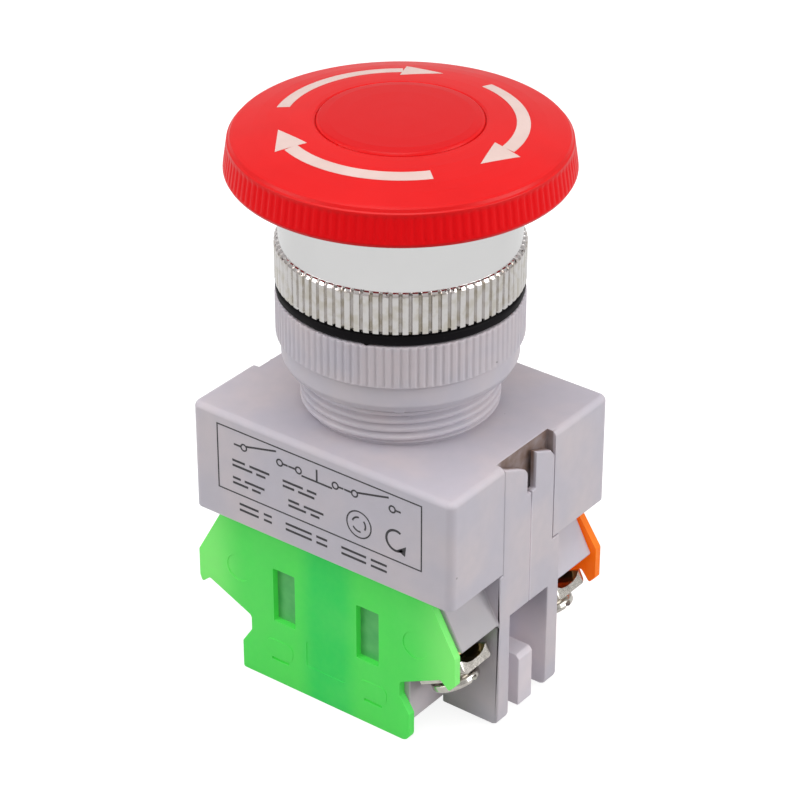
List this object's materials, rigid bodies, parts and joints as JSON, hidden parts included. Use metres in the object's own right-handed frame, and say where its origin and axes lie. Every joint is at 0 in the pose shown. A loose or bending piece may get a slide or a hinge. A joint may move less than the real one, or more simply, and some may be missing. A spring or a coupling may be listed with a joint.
{
  "type": "emergency stop button",
  "caption": "Twist-release emergency stop button: red mushroom head, chrome bezel, panel nut, square base and side-by-side contact blocks with screw terminals.",
  "frame": {"origin": "on the button's axis, level with the lowest point of the contact blocks", "axes": "+Z along the button's axis from the contact blocks to the mushroom head; -Y is the side of the green (normally open) block; X runs along the contact blocks, from terminal to terminal"},
  "size_m": [0.04, 0.04, 0.073],
  "materials": {
    "red_plastic": "semi-gloss moulded ABS",
    "chrome": "bright chrome plating, knurled skirt",
    "gasket_rubber": "matt black rubber",
    "white_plastic": "satin off-white moulded plastic",
    "green_plastic": "translucent green moulded plastic",
    "orange_plastic": "orange moulded plastic",
    "black_plastic": "black moulded nylon",
    "nickel": "nickel-plated steel",
    "contact_brass": "stamped brass with contact rivets",
    "spring_steel": "drawn spring wire"
  },
  "bodies": {
    "base": {"base_housing": "white_plastic", "panel_gasket": "gasket_rubber", "bezel_ring": "chrome", "lock_sleeve": "black_plastic", "front_block_housing": "white_plastic", "front_block_cover": "green_plastic", "front_left_terminal": "contact_brass", "front_right_terminal": "contact_brass", "rear_block_housing": "white_plastic", "rear_block_cover": "orange_plastic", "rear_left_terminal": "contact_brass", "rear_right_terminal": "contact_brass", "head_return_spring": "spring_steel", "front_return_spring": "spring_steel", "rear_return_spring": "spring_steel"},
    "nut": {"mounting_nut": "white_plastic"},
    "stem": {"actuator_stem": "black_plastic", "pusher_plate": "black_plastic", "pusher_screw": "nickel", "lock_spring": "spring_steel", "head_washer": "nickel", "head_screw": "nickel"},
    "head": {"twist_collar": "black_plastic", "twist_spring": "spring_steel", "mushroom_cap": "red_plastic", "centre_plug": "red_plastic"},
    "lock_pin_left": {"lock_pin_left": "nickel"},
    "lock_pin_right": {"lock_pin_right": "nickel"},
    "front_plunger": {"front_plunger": "black_plastic", "front_contact_spring": "spring_steel"},
    "front_bridge": {"front_contact_bridge": "contact_brass"},
    "front_left_clamp": {"front_left_clamp": "nickel"},
    "front_left_screw": {"front_left_screw": "nickel"},
    "front_right_clamp": {"front_right_clamp": "nickel"},
    "front_right_screw": {"front_right_screw": "nickel"},
    "rear_plunger": {"rear_plunger": "black_plastic", "rear_contact_spring": "spring_steel"},
    "rear_bridge": {"rear_contact_bridge": "contact_brass"},
    "rear_left_clamp": {"rear_left_clamp": "nickel"},
    "rear_left_screw": {"rear_left_screw": "nickel"},
    "rear_right_clamp": {"rear_right_clamp": "nickel"},
    "rear_right_screw": {"rear_right_screw": "nickel"}
  },
  "joints": [
    {"name": "push", "type": "slide", "parent": "base", "child": "stem", "axis": [0, 0, -1], "range_m": [0, 0.0045], "stiffness_N_per_m": 1800, "springref_m": -0.005, "deforming": ["head_return_spring"]},
    {"name": "twist_release", "type": "hinge", "parent": "stem", "child": "head", "pos_m": [0, 0, 0.068], "axis": [0, 0, -1], "range_deg": [0, 40]},
    {"name": "nut_travel", "type": "slide", "parent": "base", "child": "nut", "axis": [0, 0, -1], "range_m": [0, 0.005]},
    {"name": "lock_pin_left_slide", "type": "slide", "parent": "stem", "child": "lock_pin_left", "axis": [-1, 0, 0], "range_m": [0, 0.00091]},
    {"name": "lock_pin_right_slide", "type": "slide", "parent": "stem", "child": "lock_pin_right", "axis": [1, 0, 0], "range_m": [0, 0.00091]},
    {"name": "front_plunger_slide", "type": "slide", "parent": "base", "child": "front_plunger", "axis": [0, 0, -1], "range_m": [0, 0.00451], "deforming": ["front_return_spring"]},
    {"name": "front_bridge_slide", "type": "slide", "parent": "base", "child": "front_bridge", "axis": [0, 0, -1], "range_m": [0, 0.0022], "deforming": ["front_contact_spring"]},
    {"name": "front_left_clamp_lift", "type": "slide", "parent": "base", "child": "front_left_clamp", "axis": [-0.454, 0, -0.891], "range_m": [0, 0.0018]},
    {"name": "front_left_screw_turn", "type": "hinge", "parent": "front_left_clamp", "child": "front_left_screw", "pos_m": [-0.0137, -0.0096, 0.0116], "axis": [-0.454, 0, -0.891], "range_deg": [0, 1081]},
    {"name": "front_right_clamp_lift", "type": "slide", "parent": "base", "child": "front_right_clamp", "axis": [0.454, 0, -0.891], "range_m": [0, 0.0018]},
    {"name": "front_right_screw_turn", "type": "hinge", "parent": "front_right_clamp", "child": "front_right_screw", "pos_m": [0.0137, -0.0096, 0.0116], "axis": [0.454, 0, -0.891], "range_deg": [0, 1081]},
    {"name": "rear_plunger_slide", "type": "slide", "parent": "base", "child": "rear_plunger", "axis": [0, 0, -1], "range_m": [0, 0.00451], "deforming": ["rear_return_spring"]},
    {"name": "rear_bridge_slide", "type": "slide", "parent": "base", "child": "rear_bridge", "axis": [0, 0, -1], "range_m": [0, 0.0034], "deforming": ["rear_contact_spring"]},
    {"name": "rear_left_clamp_lift", "type": "slide", "parent": "base", "child": "rear_left_clamp", "axis": [-0.454, 0, -0.891], "range_m": [0, 0.0018]},
    {"name": "rear_left_screw_turn", "type": "hinge", "parent": "rear_left_clamp", "child": "rear_left_screw", "pos_m": [-0.0137, 0.0096, 0.0116], "axis": [-0.454, 0, -0.891], "range_deg": [0, 1081]},
    {"name": "rear_right_clamp_lift", "type": "slide", "parent": "base", "child": "rear_right_clamp", "axis": [0.454, 0, -0.891], "range_m": [0, 0.0018]},
    {"name": "rear_right_screw_turn", "type": "hinge", "parent": "rear_right_clamp", "child": "rear_right_screw", "pos_m": [0.0137, 0.0096, 0.0116], "axis": [0.454, 0, -0.891], "range_deg": [0, 1081]}
  ],
  "couplings": [
    {"joint": "lock_pin_left_slide", "follows": "push", "ratio": 0.2},
    {"joint": "lock_pin_right_slide", "follows": "push", "ratio": 0.2},
    {"joint": "front_plunger_slide", "follows": "push", "ratio": 1},
    {"joint": "front_bridge_slide", "follows": "push", "ratio": 0.4667},
    {"joint": "front_left_screw_turn", "follows": "front_left_clamp_lift", "rad_per_m": 10472},
    {"joint": "front_right_screw_turn", "follows": "front_right_clamp_lift", "rad_per_m": 10472},
    {"joint": "rear_plunger_slide", "follows": "push", "ratio": 1},
    {"joint": "rear_bridge_slide", "follows": "push", "ratio": 0.7333},
    {"joint": "rear_left_screw_turn", "follows": "rear_left_clamp_lift", "rad_per_m": 10472},
    {"joint": "rear_right_screw_turn", "follows": "rear_right_clamp_lift", "rad_per_m": 10472}
  ]
}
